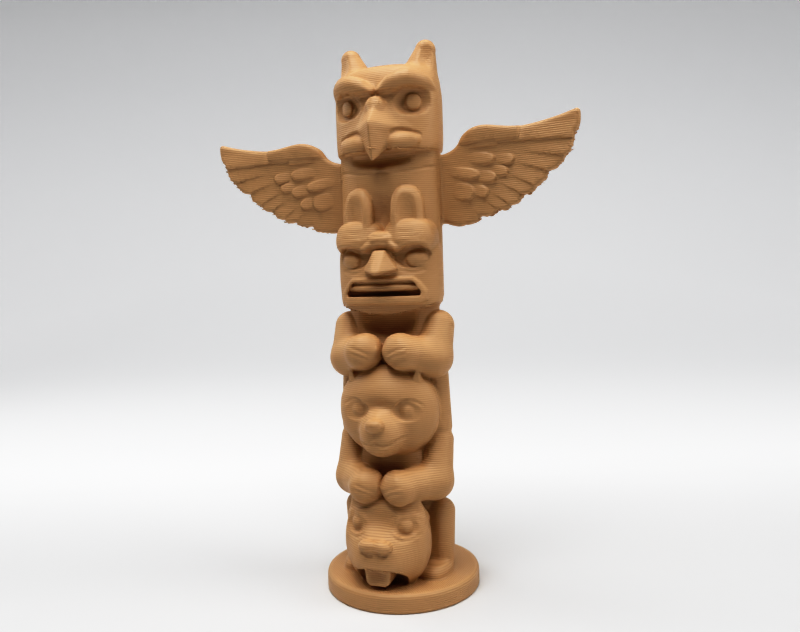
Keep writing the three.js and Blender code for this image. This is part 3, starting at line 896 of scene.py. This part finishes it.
lean = begin.out(
    "FunctionNodeRandomValue", {"data_type": "FLOAT_VECTOR"},
    _0=(-0.5, -0.25, -0.35), _1=(0.5, 0.25, 0.35), Seed=seed,
)
turned = begin.out("FunctionNodeRotateRotation", {"rotation_space": "LOCAL"}, _0=along, _1=lean)
stretch = begin.out(
    "FunctionNodeRandomValue", {"data_type": "FLOAT_VECTOR"},
    _0=(0.6, 1.0, 0.2), _1=(1.5, 1.0, 1.6), Seed=seed + 1,
)
laid = begin.out(
    "GeometryNodeInstanceOnPoints", Points=Socket(loops, dots.outputs["Points"]),
    Instance=bead_loop, Rotation=turned, Scale=stretch,
)
bodies = begin.out("GeometryNodeRealizeInstances", _0=laid)
finished = begin.out("GeometryNodeSetMaterial", _0=bodies, Material=plastic)
begin.node("NodeGroupOutput", _0=finished)

hang = strands.modifiers.new("loops", "NODES")
hang.node_group = loops
for name, value in LOOP_SIZES.items():
    hang[identifiers[name]] = value
evaluated = strands.evaluated_get(bpy.context.evaluated_depsgraph_get())
looped = bpy.data.meshes.new_from_object(evaluated)
strands.modifiers.clear()
strands.data = looped
bpy.data.meshes.remove(strands_mesh)
looped.name = "loose_strands"
looped.shade_smooth()
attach(strands, "root")


# ---- The floor, the light and the camera --------------------------------------------------
# A pale sheet of paper that sweeps up behind the piece, one large soft light above and a
# little in front, soft light from both sides, and the camera in front and to the right.

CAMERA_AT = (39.26, -105.61, 48.12)
CAMERA_TURN = (20.03, 2.99, -1.83)      # its azimuth, elevation and roll, in degrees
azimuth, elevation, roll = (math.radians(angle) for angle in CAMERA_TURN)


def sweep_floor(reach=1.2, wall=0.6, curve=0.3, steps=16):
    """A strip that lies level and curves up into a wall, straight behind the piece as the
    camera sees it."""
    profile = [(-0.6, 0.0), (wall - curve, 0.0)]
    for i in range(1, steps + 1):
        angle = math.pi / 2 * i / steps
        profile.append((wall - curve + curve * math.sin(angle), curve - curve * math.cos(angle)))
    profile.append((wall, 1.2))
    across, back = (math.cos(azimuth), math.sin(azimuth)), (-math.sin(azimuth), math.cos(azimuth))
    verts = [
        (side * reach * across[0] + y * back[0], side * reach * across[1] + y * back[1], z)
        for y, z in profile for side in (-1, 1)
    ]
    strips = [(2 * i, 2 * i + 1, 2 * i + 3, 2 * i + 2) for i in range(len(profile) - 1)]
    mesh = bpy.data.meshes.new("paper_sweep")
    mesh.from_pydata(verts, [], strips)
    mesh.shade_smooth()
    return bpy.data.objects.new("paper_sweep", mesh)


floor = sweep_floor()
bpy.context.scene.collection.objects.link(floor)

# The paper glows with painted light that stands in for the light falling on it: it glows
# more from just beyond the piece, and less higher up.
paper, start, shader = new_material("pale_paper")
place = start.out("ShaderNodeTexCoord", output=OBJECT_COORDINATES)
x, y, height = (start.out("ShaderNodeSeparateXYZ", output=i, _0=place) for i in range(3))
beyond = math.cos(azimuth) * y - math.sin(azimuth) * x
away = start.out("ShaderNodeVectorMath", {"operation": "LENGTH"}, output=1, _0=place)
smooth = {"interpolation_type": "SMOOTHSTEP"}
near = start.out("ShaderNodeMapRange", smooth, _0=beyond, _1=0.0, _2=0.08, _3=0.0, _4=0.29)
far = start.out("ShaderNodeMapRange", None, _0=away, _1=0.1, _2=0.5, _3=0.0, _4=0.14)
fall = start.out("ShaderNodeMapRange", smooth, _0=height, _1=0.05, _2=0.5, _3=0.0, _4=0.26)
glow = near + far - fall
glow = start.out("ShaderNodeCombineColor", _0=glow, _1=glow, _2=1.01 * glow)
start.tree.links.new(glow.socket, shader.inputs["Emission Color"])
shader.inputs["Emission Strength"].default_value = 1.0
shader.inputs["Base Color"].default_value = (0.74, 0.74, 0.74, 1.0)
shader.inputs["Roughness"].default_value = 0.9
floor.data.materials.append(paper)

world = bpy.data.worlds.new("soft_room")
world.use_nodes = True
room = world.node_tree.nodes["Background"]
room.inputs["Color"].default_value = (0.9, 0.95, 1.0, 1.0)
room.inputs["Strength"].default_value = 0.05
bpy.context.scene.world = world

view = bpy.context.scene.view_settings
view.view_transform = "Standard"
view.use_curve_mapping = True
all_colours = view.curve_mapping.curves[3]
for tones in ((0.06, 0.015), (0.2, 0.12), (0.42, 0.42), (0.68, 0.80)):
    all_colours.points.new(*tones)
view.curve_mapping.update()


def soft_light(name, position, target, width, power):
    """A square light that faces a target."""
    light = bpy.data.lights.new(name, "AREA")
    light.shape = "SQUARE"
    light.size = width
    light.energy = power
    holder = bpy.data.objects.new(name, light)
    holder.location = position
    aim = Vector(target) - Vector(position)
    holder.rotation_euler = aim.to_track_quat("-Z", "Y").to_euler()
    bpy.context.scene.collection.objects.link(holder)


soft_light("top_light", (0, -0.08, 0.26), (0, 0, 0.02), 0.17, 0.52)
soft_light("left_light", (-0.22, 0.0, 0.2), (0, 0, 0.08), 0.14, 0.18)
soft_light("right_light", (0.22, 0.0, 0.2), (0, 0, 0.08), 0.14, 0.26)

level = Vector((math.cos(azimuth), math.sin(azimuth), 0))
back = Vector((
    math.sin(azimuth) * math.cos(elevation),
    -math.cos(azimuth) * math.cos(elevation),
    math.sin(elevation),
))
right = math.cos(roll) * level + math.sin(roll) * back.cross(level)
up = back.cross(right)
turn = Matrix((right, up, back)).transposed().to_4x4()
lens = bpy.data.cameras.new("camera")
lens.sensor_width = 36
lens.lens = 32.4
lens.clip_start = 0.005
camera = bpy.data.objects.new("camera", lens)
camera.matrix_world = Matrix.Translation(Vector(CAMERA_AT) * MM) @ turn
bpy.context.scene.collection.objects.link(camera)
bpy.context.scene.camera = camera
